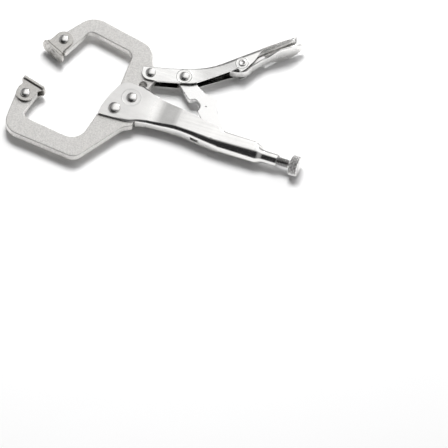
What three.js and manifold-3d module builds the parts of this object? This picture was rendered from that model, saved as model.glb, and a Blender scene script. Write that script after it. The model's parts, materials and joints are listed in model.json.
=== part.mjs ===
// Locking C clamp with swivel pads, lying on its side, in millimetres.
// +Z is the normal of the plane the jaws move in and +X runs along the adjusting screw.
// The plan is laid out about the jaw pivot, and the whole clamp is shifted at the end so that
// its origin is the centre of the underside of its bounding box.
import * as THREE from "three";
import { mergeVertices } from "three/addons/utils/BufferGeometryUtils.js";
import Module from "manifold-3d";

const wasm = await Module();
wasm.setup();

// ---------- driving dimensions ----------
const JAW_HALF = 2.2; // half the thickness of both jaw bars
const LINK_HALF = 1.8; // half the thickness of the toggle link
const SHEET = 1.1; // sheet steel of both handles and the pad ears
const GAP = 0.3; // running clearance between neighbouring pieces
const EAR_IN = JAW_HALF + GAP; // inner face of the sheets that straddle a jaw
const EAR_OUT = EAR_IN + SHEET; // outer face of the same sheets

const JAW_PIVOT = [0, 0];
const JAW_FIXING = [-7, -9.9];
const LEVER_PIVOT = [4.4, 19.5];
const LINK_PIVOT = [23.5, 23.7];
const RELEASE_PIVOT = [51.8, 42.5];
const UPPER_PAD_PIVOT = [-49.9, 23.6];
const LOWER_PAD_PIVOT = [-58.3, -17.8];
const LINK_FOOT = [58.6, -8.8]; // where the link stands on the tip of the screw
const SPRING_HOLE = [2.8, 10.8];
const SPRING_HOLE_R = 2.2;
const HEAD_ROOM_R = 7.2; // room between the lever's cheeks for the moving jaw to turn in
const HUB_R = 8.2; // round hub of the moving jaw about its pivot

const SCREW_Y = -9.4; // height of the screw axis in the plan
const SCREW_R = 2.8; // crest of the M6 thread
const SCREW_ROOT = 2.45;
const SCREW_PITCH = 1;
const SCREW_TIP_X = 62.6;
const NECK_R = 3.7;
const NECK_BORE = SCREW_R + GAP;
const NECK_X = 84;
const NECK_END_X = 92;
const KNOB_X = 100;
const KNOB_LENGTH = 5;
const KNOB_R = 5.9;
const KNURLS = 24;
const TUBE_R = 5.5; // outside radius of the handle's round floor at the rear
const TUBE_END_X = 79;

const LARGE_RIVET = { head: 3.5, shank: 2.2 };
const PIVOT_RIVET = { head: 3.1, shank: 2.0 };
const SMALL_RIVET = { head: 2.9, shank: 1.7 };
const DOME_HEIGHT = 1.4;
const SEAT_GAP = 0.12; // air left under a rivet head
const BORE_GAP = 0.2; // air left round a rivet shank

const PAD_R = 8; // round clamping plate of a pad
const PAD_HALF = 4.6; // the same plate is cut straight across at this half width
const PAD_SHEET = 1.5;
const PAD_REACH = 9.2; // pad rivet to clamping face
const UPPER_PAD_TURN = 244.4; // directions the clamping faces look in, degrees in the plan
const LOWER_PAD_TURN = 74;

const WIRE_R = 0.35;
const COIL_R = 1.45;
const COIL_TURNS = 16;
const COIL_START = [10.6, 6.2];
const COIL_END = [36.5, -8.6];
const TAB_X = [44.3, 45.3]; // tab bent up from the handle's floor to hold the spring
const TAB_Y = [-13.4, -10.4];
const TAB_SLOT_X = [40.2, 44.8]; // the slot the tab was bent out of
const TAB_HALF = 0.8;

const RELEASE_SHANK_R = 1.6; // shank, flat head and dish of the release lever's rivet
const RELEASE_HEAD_R = 2.2;
const RELEASE_DISH_R = 0.9;
const RELEASE_SEAT = 5.2; // half the distance between its heads

const ARC_STEPS = 5;
const ROUND_STEPS = 24;
const THROUGH = 30; // half depth of a cut that goes right through

// ---------- solids and booleans ----------
function solidOf(geometry) {
  const bare = geometry.clone();
  bare.deleteAttribute("normal");
  bare.deleteAttribute("uv");
  const merged = mergeVertices(bare, 1e-4);
  const vertProperties = new Float32Array(merged.attributes.position.array);
  const triVerts = new Uint32Array(merged.index.array);
  const solid = new wasm.Manifold(new wasm.Mesh({ numProp: 3, vertProperties, triVerts }));
  if (solid.volume() > 0) return solid;
  for (let i = 0; i < triVerts.length; i += 3) {
    [triVerts[i + 1], triVerts[i + 2]] = [triVerts[i + 2], triVerts[i + 1]];
  }
  return new wasm.Manifold(new wasm.Mesh({ numProp: 3, vertProperties, triVerts }));
}

function geometryOf(solid) {
  const mesh = solid.getMesh();
  const positions = new Float32Array(mesh.numVert * 3);
  for (let i = 0; i < mesh.numVert; i++) {
    positions.set(mesh.vertProperties.subarray(i * mesh.numProp, i * mesh.numProp + 3), i * 3);
  }
  const geometry = new THREE.BufferGeometry();
  geometry.setAttribute("position", new THREE.BufferAttribute(positions, 3));
  geometry.setIndex(new THREE.BufferAttribute(new Uint32Array(mesh.triVerts), 1));
  const flat = geometry.toNonIndexed();
  flat.computeVertexNormals();
  return flat;
}

// A closed outline from corners [x, y, fillet radius]. A corner with no radius stays sharp.
function outline(corners) {
  const shape = new THREE.Shape();
  const count = corners.length;
  corners.forEach((corner, i) => {
    const at = new THREE.Vector2(corner[0], corner[1]);
    const radius = corner[2] || 0;
    const before = corners[(i + count - 1) % count];
    const after = corners[(i + 1) % count];
    const back = new THREE.Vector2(before[0], before[1]).sub(at).normalize();
    const ahead = new THREE.Vector2(after[0], after[1]).sub(at).normalize();
    const half = Math.acos(THREE.MathUtils.clamp(back.dot(ahead), -1, 1)) / 2;
    const move = i === 0 ? "moveTo" : "lineTo";
    if (radius === 0 || half > 1.55) {
      shape[move](at.x, at.y);
      return;
    }
    const reach = radius / Math.tan(half);
    const start = at.clone().addScaledVector(back, reach);
    const end = at.clone().addScaledVector(ahead, reach);
    const towards = back.clone().add(ahead).normalize();
    const centre = at.clone().addScaledVector(towards, radius / Math.sin(half));
    const from = Math.atan2(start.y - centre.y, start.x - centre.x);
    const to = Math.atan2(end.y - centre.y, end.x - centre.x);
    const clockwise = back.x * ahead.y - back.y * ahead.x > 0;
    shape[move](start.x, start.y);
    shape.absarc(centre.x, centre.y, radius, from, to, clockwise);
  });
  shape.closePath();
  return shape;
}

function slab(shape, low, high, steps = ARC_STEPS) {
  const depth = high - low;
  const options = { depth, bevelEnabled: false, curveSegments: steps };
  const geometry = new THREE.ExtrudeGeometry(shape, options);
  geometry.translate(0, 0, low);
  return solidOf(geometry);
}

function disc(centre, radius, low, high, sides = ROUND_STEPS) {
  const geometry = new THREE.CylinderGeometry(radius, radius, high - low, sides);
  geometry.rotateX(Math.PI / 2);
  geometry.translate(centre[0], centre[1], (low + high) / 2);
  return solidOf(geometry);
}

function block(x0, x1, y0, y1, z0, z1) {
  const geometry = new THREE.BoxGeometry(x1 - x0, y1 - y0, z1 - z0);
  geometry.translate((x0 + x1) / 2, (y0 + y1) / 2, (z0 + z1) / 2);
  return solidOf(geometry);
}

// A turned solid about the screw axis from [x, radius] points, closed along the profile.
function turned(points, sides = ROUND_STEPS) {
  const profile = points.map(([x, r]) => new THREE.Vector2(r, x));
  const geometry = new THREE.LatheGeometry(profile, sides);
  geometry.rotateZ(-Math.PI / 2);
  geometry.translate(0, SCREW_Y, 0);
  return solidOf(geometry);
}

function bored(solid, places) {
  let rest = solid;
  for (const [centre, radius] of places) {
    rest = rest.subtract(disc(centre, radius, -THROUGH, THROUGH));
  }
  return rest;
}

function piece(name, solid, colour, roughness, metalness) {
  const material = new THREE.MeshStandardMaterial({ color: colour, roughness, metalness });
  const mesh = new THREE.Mesh(geometryOf(solid), material);
  mesh.name = name;
  return mesh;
}

// ---------- bent sheet channels ----------
// Values at a position between stations [position, ...values].
function between(stations, position) {
  const last = stations.length - 1;
  if (position <= stations[0][0]) return stations[0].slice(1);
  if (position >= stations[last][0]) return stations[last].slice(1);
  const i = stations.findIndex((station) => station[0] > position) - 1;
  const [from, to] = [stations[i], stations[i + 1]];
  const share = (position - from[0]) / (to[0] - from[0]);
  return from.slice(1).map((value, k) => THREE.MathUtils.lerp(value, to[k + 1], share));
}

// A point of a channel's section. side runs from -1 to 1 across the developed sheet and depth
// from 0 on the inner face to 1 on the outer face. Returns [height above the floor, z].
function channelPoint(side, depth, form) {
  const share = Math.abs(side);
  const inset = (1 - depth) * SHEET;
  const flat = form.half - form.corner;
  let height;
  let across;
  if (share <= 0.2) {
    height = inset;
    across = (flat * share) / 0.2;
  } else if (share <= 0.6) {
    const turn = ((share - 0.2) / 0.4) * (Math.PI / 2);
    height = form.corner - (form.corner - inset) * Math.cos(turn);
    across = flat + (form.corner - inset) * Math.sin(turn);
  } else if (share <= 0.8) {
    const top = form.wall - form.lipRadius;
    height = THREE.MathUtils.lerp(form.corner, top, (share - 0.6) / 0.2);
    across = form.half - inset;
  } else {
    const turn = ((share - 0.8) / 0.2) * form.lipTurn;
    const radius = form.lipRadius - inset;
    height = form.wall - form.lipRadius + radius * Math.sin(turn);
    if (form.lipTurn === 0) height += ((share - 0.8) / 0.2) * form.lipRadius;
    across = form.half - form.lipRadius + radius * Math.cos(turn);
  }
  return [height, Math.sign(side) * across];
}

// A sheet channel along its length. place(position, height, z) puts a section point in space.
function channel(start, end, lengthSteps, formAt, place) {
  const sideSteps = 20; // ten equal steps on each side of the floor's middle
  const geometry = new THREE.BoxGeometry(1, 1, 1, lengthSteps, 1, sideSteps);
  const points = geometry.attributes.position;
  for (let i = 0; i < points.count; i++) {
    const position = THREE.MathUtils.lerp(start, end, points.getX(i) + 0.5);
    const side = points.getZ(i) * 2;
    const depth = points.getY(i) + 0.5;
    const [height, across] = channelPoint(side, depth, formAt(position));
    points.setXYZ(i, ...place(position, height, across));
  }
  return solidOf(geometry);
}

// ---------- jaws ----------
function fixedJaw() {
  const arm = outline([
    [-63.8, -11.4, 2.5],
    [-63.3, -43.6, 10],
    [-17.2, -48.7, 7],
    [1.4, -20, 8],
    [6.3, -17.1],
    [6.3, -11.5, 1],
    [-3.5, -7.5],
    [-8, -3],
    [-12.2, -3, 1],
    [-15.2, -16, 12],
    [-19.2, -37.3, 9],
    [-55.9, -32, 4.5],
    [-51.6, -13.6, 1.8],
  ]);
  return bored(slab(arm, -JAW_HALF, JAW_HALF), [
    [JAW_PIVOT, HUB_R + GAP],
    [JAW_FIXING, LARGE_RIVET.shank + BORE_GAP],
    [LOWER_PAD_PIVOT, SMALL_RIVET.shank + BORE_GAP],
  ]);
}

function movingJaw() {
  const arm = outline([
    [-56.7, 20.9, 2],
    [-39.7, 45.3, 12],
    [-0.6, 36.8, 10],
    [3.4, 25.6, 4],
    [9.2, 22.4, 3.5],
    [8.4, 16, 4],
    [6.6, 9.2, 2],
    [5.5, 2],
    [-7.5, -2],
    [-9.5, 8, 6],
    [-9.5, 29.1, 5],
    [-37.9, 35, 4],
    [-46.3, 15.7, 1.6],
  ]);
  const hub = disc(JAW_PIVOT, HUB_R, -JAW_HALF, JAW_HALF, 32);
  return bored(slab(arm, -JAW_HALF, JAW_HALF).add(hub), [
    [JAW_PIVOT, PIVOT_RIVET.shank + BORE_GAP],
    [LEVER_PIVOT, SMALL_RIVET.shank + BORE_GAP],
    [UPPER_PAD_PIVOT, SMALL_RIVET.shank + BORE_GAP],
    [SPRING_HOLE, SPRING_HOLE_R],
  ]);
}

// ---------- fixed handle ----------
// Stations along X: [x, floor y, half width, corner radius, top y, lip turn].
const HANDLE_STATIONS = [
  [-16, -18, EAR_OUT, 1.6, 12, 0],
  [3, -15.8, EAR_OUT, 1.6, 12, 0],
  [8, -14, EAR_OUT, 1.7, 12, 0],
  [15, -12.8, EAR_OUT, 2, 5.2, 0],
  [24, -12, 4.1, 2.4, 3.3, 0],
  [34, -12.2, 4.9, 2.8, 1.2, 0],
  [46, -13.7, 5.4, 3.4, -1.3, 0],
  [54, -14.6, TUBE_R, 4.2, -2.9, 0],
  [59, -14.9, TUBE_R, 4.8, -3.6, 1.1],
  [TUBE_END_X + 0.6, -14.9, TUBE_R, 5.4, -3.7, 1.3],
];

function handleForm(x) {
  const [floor, half, corner, top, lipTurn] = between(HANDLE_STATIONS, x);
  return { floor, half, corner, wall: top - floor, lipRadius: 2, lipTurn };
}

function fixedHandle() {
  const sheet = channel(-16, TUBE_END_X + 0.6, 20, handleForm, (x, height, z) => [
    x,
    handleForm(x).floor + height,
    z,
  ]);
  const front = outline([
    [-14.9, -16.5, 0.8],
    [3, -16, 3],
    [8, -14.4],
    [12, -20],
    [99, -20],
    [99, 6],
    [12, 6],
    [3.4, 8.7, 6],
    [-7.9, 9.2, 6.5],
    [-12.5, -2, 12],
    [-14.6, -11, 12],
  ]);
  const neck = turned([
    [TUBE_END_X, TUBE_R - SHEET],
    [TUBE_END_X, TUBE_R],
    [(TUBE_END_X + NECK_X) / 2, TUBE_R - 0.5],
    [NECK_X, NECK_R],
    [NECK_END_X, NECK_R],
    [NECK_END_X, NECK_BORE],
    [NECK_X - 1, NECK_BORE],
    [NECK_X - 3.4, TUBE_R - SHEET],
    [TUBE_END_X, TUBE_R - SHEET],
  ]);
  const tailSlot = block(-THROUGH, 6.8, -THROUGH, THROUGH, -EAR_IN, EAR_IN);
  const tabSlot = block(TAB_SLOT_X[0], TAB_SLOT_X[1], -THROUGH, -11, -TAB_HALF, TAB_HALF);
  const tab = block(TAB_X[0], TAB_X[1], TAB_Y[0], TAB_Y[1], -TAB_HALF, TAB_HALF);
  const trimmed = sheet
    .intersect(slab(front, -THROUGH, THROUGH))
    .subtract(tailSlot)
    .subtract(tabSlot);
  return bored(trimmed, [
    [JAW_FIXING, LARGE_RIVET.shank + BORE_GAP],
    [JAW_PIVOT, PIVOT_RIVET.shank + BORE_GAP],
  ])
    .add(tab)
    .add(neck);
}

// ---------- adjusting screw ----------
function adjustingScrew() {
  const profile = [
    [SCREW_TIP_X, 0],
    [SCREW_TIP_X, 1.6],
    [SCREW_TIP_X + 0.8, SCREW_ROOT],
  ];
  for (let x = NECK_END_X - 2; x < KNOB_X - SCREW_PITCH; x += SCREW_PITCH) {
    profile.push([x, SCREW_ROOT]);
    profile.push([x + SCREW_PITCH / 2, SCREW_R]);
  }
  profile.push([KNOB_X - SCREW_PITCH / 2, SCREW_ROOT]);
  profile.push([KNOB_X - GAP, SCREW_ROOT]);
  profile.push([KNOB_X - GAP, 1.6]);
  profile.push([KNOB_X + KNOB_LENGTH - 1, 1.6]);
  profile.push([KNOB_X + KNOB_LENGTH - 1, 0]);
  return turned(profile, 16);
}

function screwKnob() {
  const body = turned([
    [KNOB_X, 1.8],
    [KNOB_X, KNOB_R - 0.6],
    [KNOB_X + 0.5, KNOB_R],
    [KNOB_X + KNOB_LENGTH - 0.5, KNOB_R],
    [KNOB_X + KNOB_LENGTH, KNOB_R - 0.7],
    [KNOB_X + KNOB_LENGTH, 0],
    [KNOB_X + KNOB_LENGTH - 0.7, 0],
    [KNOB_X + KNOB_LENGTH - 0.7, 1.8],
    [KNOB_X, 1.8],
  ], 2 * KNURLS);
  let knurled = body;
  for (let i = 0; i < KNURLS; i++) {
    const groove = new THREE.CylinderGeometry(0.3, 0.3, KNOB_LENGTH * 1.6, 4);
    groove.rotateZ(Math.PI / 2);
    groove.rotateY(0.35);
    groove.translate(KNOB_X + KNOB_LENGTH / 2, 0, KNOB_R);
    groove.rotateX((i / KNURLS) * 2 * Math.PI);
    groove.translate(0, SCREW_Y, 0);
    knurled = knurled.subtract(solidOf(groove));
  }
  return knurled;
}

// ---------- toggle link ----------
function toggleLink() {
  const plate = outline([
    [19.6, 20.6, 4],
    [20.6, 28, 4],
    [27.6, 26.6, 4],
    [33.4, 20.6, 4],
    [38.5, 18, 5],
    [46.6, 16.6, 3.5],
    [48.6, 8.2, 9],
    [LINK_FOOT[0] + 2.6, LINK_FOOT[1] + 3.4, 2.5],
    [LINK_FOOT[0] + 2.2, LINK_FOOT[1] - 3.2, 2.8],
    [LINK_FOOT[0] - 4.6, LINK_FOOT[1] - 2.4, 3],
    [38, 4.9, 2.5],
    [38.8, 9.6, 3],
    [34, 12.6, 2],
    [31, 10.6, 0.8],
  ]);
  const dimple = disc([41.5, 9.7], 0.6, LINK_HALF - 0.3, LINK_HALF + 1, 8);
  const solid = slab(plate, -LINK_HALF, LINK_HALF).subtract(dimple);
  return bored(solid, [[LINK_PIVOT, SMALL_RIVET.shank + BORE_GAP]]);
}

// ---------- lever ----------
// Top line of the lever in the plan, from its head to its tip.
const LEVER_LINE = new THREE.CatmullRomCurve3(
  [
    [-6, 22.4],
    [4.4, 24.4],
    [24, 30.2],
    [35.5, 36],
    [48, 47.5],
    [60, 59.4],
    [73.3, 71.7],
  ].map(([x, y]) => new THREE.Vector3(x, y, 0)),
);
// Stations along the line: [share of its length, half width, corner radius, wall height].
const LEVER_STATIONS = [
  [0, EAR_OUT, 1.6, 16],
  [0.34, EAR_OUT, 1.8, 16],
  [0.5, 4.4, 2.8, 16],
  [0.62, 5.2, 3.6, 16],
  [0.86, 5.2, 4.2, 12],
  [1, 4.4, 4, 9],
];

function leverForm(share) {
  const [half, corner, wall] = between(LEVER_STATIONS, share);
  return { half, corner, wall, lipRadius: 2, lipTurn: 0 };
}

// A point below a plan curve, measured square to it.
function below(curve, share, distance, z) {
  const at = curve.getPointAt(share);
  const along = curve.getTangentAt(share);
  return [at.x + along.y * distance, at.y - along.x * distance, z];
}

function lever() {
  const place = (share, height, z) => below(LEVER_LINE, share, height, z);
  const sheet = channel(0, 1, 18, leverForm, place);
  const side = outline([
    [-1.4, 25.4, 5],
    [-0.2, 14.2, 5],
    [9.5, 15.3, 3],
    [29.6, 20.6, 14],
    [41.2, 30.6, 16],
    [50.2, 38.2],
    [52.4, 36.9, 0.8],
    [54.8, 39.6],
    [57.6, 46.4, 5],
    [59.6, 54.6, 2],
    [66, 61.2, 3],
    [70.4, 66.2, 2],
    [73.2, 67.2, 2.5],
    [75, 71.2, 2.5],
    [70, 78],
    [40, 60],
    [4, 36],
  ]);
  const jawRoom = disc(LEVER_PIVOT, HEAD_ROOM_R, -EAR_IN, EAR_IN);
  return bored(sheet.intersect(slab(side, -THROUGH, THROUGH)).subtract(jawRoom), [
    [LEVER_PIVOT, SMALL_RIVET.shank + BORE_GAP],
    [LINK_PIVOT, SMALL_RIVET.shank + BORE_GAP],
    [RELEASE_PIVOT, RELEASE_SHANK_R + BORE_GAP],
  ]);
}

// ---------- release lever ----------
const RELEASE_HALF = 2.9;
const BLADE_HALF = 6;
const BLADE_SHEET = 1.2;
const CHEEK_SHEET = 1;
const LEAF_START = 0.5; // shares of the underside where the leaf begins and is at full width
const LEAF_FULL = 0.7;
// Underside of the release lever in the plan, from its toe to the tip of its blade.
const RELEASE_LINE = new THREE.CatmullRomCurve3(
  [
    [46.4, 36.2],
    [51, 37],
    [55.4, 39.4],
    [58.8, 45.4],
    [63, 51],
    [69, 56.8],
    [74, 61],
    [79.9, 67.7],
  ].map(([x, y]) => new THREE.Vector3(x, y, 0)),
);

// A strip of sheet bent along the underside, its half width given by a function of the share.
function strip(from, to, steps, halfAt) {
  const geometry = new THREE.BoxGeometry(1, 1, 1, steps, 1, 2);
  const points = geometry.attributes.position;
  for (let i = 0; i < points.count; i++) {
    const share = THREE.MathUtils.lerp(from, to, points.getX(i) + 0.5);
    const lift = (points.getY(i) + 0.5) * BLADE_SHEET;
    points.setXYZ(i, ...below(RELEASE_LINE, share, -lift, points.getZ(i) * 2 * halfAt(share)));
  }
  return solidOf(geometry);
}

// Half width of the strip: a stem that spreads into a leaf with a round end.
function bladeHalf(share) {
  if (share < LEAF_START) return RELEASE_HALF;
  if (share < LEAF_FULL) {
    const spread = THREE.MathUtils.smoothstep(share, LEAF_START, LEAF_FULL);
    return THREE.MathUtils.lerp(RELEASE_HALF, BLADE_HALF, spread);
  }
  const end = Math.min(1, (share - LEAF_FULL) / (1 - LEAF_FULL));
  return BLADE_HALF * Math.sqrt(Math.max(0.03, 1 - end ** 2.6));
}

function releaseLever() {
  const cheek = outline([
    [46.6, 36.4],
    [51, 37.2],
    [55.2, 39.6],
    [58.6, 45.6],
    [62.6, 50.8],
    [61.4, 53, 1],
    [55.6, 46.6, 3],
    [50.6, 46.4, 3],
    [47.2, 40, 1],
  ]);
  const web = strip(0, 1, 26, bladeHalf);
  const near = slab(cheek, RELEASE_HALF - CHEEK_SHEET, RELEASE_HALF);
  const far = slab(cheek, -RELEASE_HALF, CHEEK_SHEET - RELEASE_HALF);
  return bored(web.add(near).add(far), [[RELEASE_PIVOT, RELEASE_SHANK_R + BORE_GAP]]);
}

// ---------- rivets ----------
// A rivet with a domed head over each outer sheet, standing along Z.
function rivet(size, outer) {
  const seat = outer + SEAT_GAP;
  const top = seat + DOME_HEIGHT;
  const dome = [];
  for (let i = 0; i <= 3; i++) {
    const turn = (i / 3) * (Math.PI / 2);
    dome.push([size.head * Math.cos(turn), seat + 0.3 + (DOME_HEIGHT - 0.3) * Math.sin(turn)]);
  }
  dome[dome.length - 1] = [0, top];
  const upper = [[size.shank, seat], [size.head, seat], ...dome];
  const lower = upper.map(([r, z]) => [r, -z]).reverse();
  const profile = [...lower, ...upper].map(([r, z]) => new THREE.Vector2(r, z));
  const geometry = new THREE.LatheGeometry(profile, 16);
  geometry.rotateX(Math.PI / 2);
  return solidOf(geometry);
}

// A rivet with a flat, dished head at each end, standing along Z.
function dishedRivet() {
  const seat = RELEASE_SEAT + SEAT_GAP;
  const upper = [
    [RELEASE_SHANK_R, seat],
    [RELEASE_HEAD_R, seat],
    [RELEASE_HEAD_R, seat + 0.4],
    [RELEASE_DISH_R + 0.3, seat + 0.5],
    [RELEASE_DISH_R, seat + 0.2],
    [0, seat + 0.2],
  ];
  const lower = upper.map(([r, z]) => [r, -z]).reverse();
  const profile = [...lower, ...upper].map(([r, z]) => new THREE.Vector2(r, z));
  const geometry = new THREE.LatheGeometry(profile, 16);
  geometry.rotateX(Math.PI / 2);
  return solidOf(geometry);
}

// ---------- swivel pads ----------
// A pad about its rivet, its clamping face looking along +X.
function pad() {
  const inner = PAD_REACH - PAD_SHEET;
  const round = new THREE.CylinderGeometry(PAD_R, PAD_R, PAD_SHEET, 32);
  round.rotateZ(Math.PI / 2);
  round.translate(inner + PAD_SHEET / 2, 0, 0);
  const cut = block(0, THROUGH, -THROUGH, THROUGH, -PAD_HALF, PAD_HALF);
  const plate = solidOf(round).intersect(cut);
  const ear = outline([
    [inner + 0.4, -7.2],
    [inner + 0.4, 7.2],
    [5.4, 5.2, 2],
    [-5.2, 5.4, 5],
    [-5.2, -5.4, 5],
    [5.4, -5.2, 2],
  ]);
  const near = slab(ear, EAR_IN, EAR_OUT);
  const far = slab(ear, -EAR_OUT, -EAR_IN);
  return bored(plate.add(near).add(far), [[JAW_PIVOT, SMALL_RIVET.shank + BORE_GAP]]);
}

// ---------- return spring ----------
// The wire: out of the jaw's hole, over its face, down into a coil and on to the handle's tab.
class SpringWire extends THREE.Curve {
  constructor() {
    super();
    this.start = new THREE.Vector3(...COIL_START, 0);
    this.end = new THREE.Vector3(...COIL_END, 0);
    const along = this.end.clone().sub(this.start).normalize();
    this.side = new THREE.Vector3(-along.y, along.x, 0);
    this.lead = new THREE.CatmullRomCurve3([
      new THREE.Vector3(3, 10.8, -1.6),
      new THREE.Vector3(3, 10.6, 0.6),
      new THREE.Vector3(3.5, 10.1, 2.3),
      new THREE.Vector3(4.8, 9.5, 2.75),
      new THREE.Vector3(6.4, 8.8, 2.6),
      new THREE.Vector3(8.2, 8.4, 1.2),
      this.start.clone().addScaledVector(this.side, COIL_R),
    ]);
    this.tail = new THREE.CatmullRomCurve3([
      this.end.clone().addScaledVector(this.side, COIL_R),
      new THREE.Vector3(39.6, -8.6, 0),
      new THREE.Vector3(43, -10.4, 0),
      new THREE.Vector3(43.6, -11.4, 0),
    ]);
  }
  getPoint(t, target = new THREE.Vector3()) {
    if (t < 0.12) return target.copy(this.lead.getPoint(t / 0.12));
    if (t > 0.92) return target.copy(this.tail.getPoint((t - 0.92) / 0.08));
    const share = (t - 0.12) / 0.8;
    const turn = share * COIL_TURNS * 2 * Math.PI;
    target.lerpVectors(this.start, this.end, share);
    target.addScaledVector(this.side, COIL_R * Math.cos(turn));
    target.z += COIL_R * Math.sin(turn);
    return target;
  }
}

function returnSpring() {
  const wire = new THREE.Shape();
  for (let i = 0; i < 4; i++) {
    const turn = (i / 4) * 2 * Math.PI;
    wire[i === 0 ? "moveTo" : "lineTo"](WIRE_R * Math.cos(turn), WIRE_R * Math.sin(turn));
  }
  wire.closePath();
  const path = new SpringWire();
  path.arcLengthDivisions = 1200;
  return solidOf(new THREE.ExtrudeGeometry(wire, { steps: 170, extrudePath: path }));
}

// ---------- assembly ----------
const NICKEL = 0xc9c8c4;
const BRIGHT = 0xd6d6d4;
const RIVET_STEEL = 0xb9b9b8;

function placed(mesh, at, degrees = 0) {
  mesh.position.set(at[0], at[1], 0);
  mesh.rotation.z = THREE.MathUtils.degToRad(degrees);
  return mesh;
}

const clamp = new THREE.Group();
clamp.name = "c_clamp";
clamp.add(
  piece("fixed_jaw", fixedJaw(), NICKEL, 0.6, 0.75),
  piece("moving_jaw", movingJaw(), NICKEL, 0.6, 0.75),
  piece("fixed_handle", fixedHandle(), BRIGHT, 0.35, 0.9),
  piece("adjusting_screw", adjustingScrew(), RIVET_STEEL, 0.3, 0.9),
  piece("screw_knob", screwKnob(), RIVET_STEEL, 0.35, 0.9),
  piece("toggle_link", toggleLink(), BRIGHT, 0.4, 0.85),
  piece("lever", lever(), BRIGHT, 0.35, 0.9),
  piece("release_lever", releaseLever(), BRIGHT, 0.4, 0.85),
  placed(piece("jaw_fixing_rivet", rivet(LARGE_RIVET, EAR_OUT), RIVET_STEEL, 0.3, 0.9), JAW_FIXING),
  placed(piece("jaw_pivot_rivet", rivet(PIVOT_RIVET, EAR_OUT), RIVET_STEEL, 0.3, 0.9), JAW_PIVOT),
  placed(piece("lever_pivot_rivet", rivet(SMALL_RIVET, EAR_OUT), RIVET_STEEL, 0.3, 0.9), LEVER_PIVOT),
  placed(piece("link_pivot_rivet", rivet(SMALL_RIVET, EAR_OUT), RIVET_STEEL, 0.3, 0.9), LINK_PIVOT),
  placed(piece("release_rivet", dishedRivet(), RIVET_STEEL, 0.3, 0.9), RELEASE_PIVOT),
  placed(piece("upper_pad", pad(), NICKEL, 0.5, 0.8), UPPER_PAD_PIVOT, UPPER_PAD_TURN),
  placed(piece("lower_pad", pad(), NICKEL, 0.5, 0.8), LOWER_PAD_PIVOT, LOWER_PAD_TURN),
  placed(piece("upper_pad_rivet", rivet(SMALL_RIVET, EAR_OUT), RIVET_STEEL, 0.3, 0.9), UPPER_PAD_PIVOT),
  placed(piece("lower_pad_rivet", rivet(SMALL_RIVET, EAR_OUT), RIVET_STEEL, 0.3, 0.9), LOWER_PAD_PIVOT),
  piece("return_spring", returnSpring(), RIVET_STEEL, 0.4, 0.85),
);

// Origin: the middle of the underside of the whole clamp.
const bounds = new THREE.Box3().setFromObject(clamp, true);
const middle = bounds.getCenter(new THREE.Vector3());
clamp.position.set(-middle.x, -middle.y, -bounds.min.z);

const part = new THREE.Group();
part.name = "part";
part.add(clamp);

export default part;
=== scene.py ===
"""Locking C clamp with swivel pads, lying on its side on a pale floor.

The pieces are laid out in millimetres about the jaw pivot and moved into the frame at the end.
+X runs along the adjusting screw, +Z is the normal of the plane the jaws move in.
"""
import json
import math

import bmesh
import bpy
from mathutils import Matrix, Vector
from mathutils.geometry import tessellate_polygon


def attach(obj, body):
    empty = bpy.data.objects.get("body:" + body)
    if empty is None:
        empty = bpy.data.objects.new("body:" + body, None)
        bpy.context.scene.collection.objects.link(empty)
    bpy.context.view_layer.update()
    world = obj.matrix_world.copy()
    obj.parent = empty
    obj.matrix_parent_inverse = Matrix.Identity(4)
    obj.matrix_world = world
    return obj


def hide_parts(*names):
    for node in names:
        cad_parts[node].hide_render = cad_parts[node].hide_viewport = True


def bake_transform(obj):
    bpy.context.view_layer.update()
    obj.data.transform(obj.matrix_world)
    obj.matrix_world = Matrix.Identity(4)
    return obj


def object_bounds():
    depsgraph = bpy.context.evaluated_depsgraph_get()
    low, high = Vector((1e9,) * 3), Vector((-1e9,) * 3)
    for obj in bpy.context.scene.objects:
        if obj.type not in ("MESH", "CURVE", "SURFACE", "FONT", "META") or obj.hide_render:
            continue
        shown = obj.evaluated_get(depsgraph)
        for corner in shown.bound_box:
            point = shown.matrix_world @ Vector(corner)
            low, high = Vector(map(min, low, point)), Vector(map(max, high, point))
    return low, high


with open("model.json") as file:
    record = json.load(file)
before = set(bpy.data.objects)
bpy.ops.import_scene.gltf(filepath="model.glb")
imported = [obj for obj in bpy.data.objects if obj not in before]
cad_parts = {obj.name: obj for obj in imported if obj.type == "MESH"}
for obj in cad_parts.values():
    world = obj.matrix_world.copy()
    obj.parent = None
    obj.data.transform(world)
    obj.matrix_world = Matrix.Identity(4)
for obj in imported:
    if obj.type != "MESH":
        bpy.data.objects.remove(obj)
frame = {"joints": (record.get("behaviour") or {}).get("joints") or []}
frame_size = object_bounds()

MM = 0.001
JOINTS = {joint["name"]: joint for joint in frame["joints"]}
ORIGIN = Vector(JOINTS["jaw_hinge"]["pos_m"])  # the jaw pivot, at mid thickness


def plan_point(joint):
    """A joint's axis in the plan, in millimetres from the jaw pivot."""
    moved = (Vector(JOINTS[joint]["pos_m"]) - ORIGIN) / MM
    return (moved.x, moved.y)


# ---------- driving dimensions, millimetres ----------
JAW_HALF = 2.2
LINK_HALF = 1.8
SHEET = 1.1
GAP = 0.3
EAR_IN = JAW_HALF + GAP
EAR_OUT = EAR_IN + SHEET
JAW_PIVOT = (0.0, 0.0)
JAW_FIXING = (-7.0, -9.9)
LEVER_PIVOT = plan_point("lever_hinge")
LINK_PIVOT = plan_point("link_hinge")
RELEASE_PIVOT = plan_point("release_hinge")
UPPER_PAD_PIVOT = plan_point("upper_pad_swivel")
LOWER_PAD_PIVOT = plan_point("lower_pad_swivel")
LINK_FOOT = (58.6, -8.8)
SPRING_HOLE = (2.8, 10.8)
SPRING_HOLE_R = 2.2
HEAD_ROOM_R = 7.2
HUB_R = 8.2
HUB_ROOM_R = HUB_R + GAP

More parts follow.
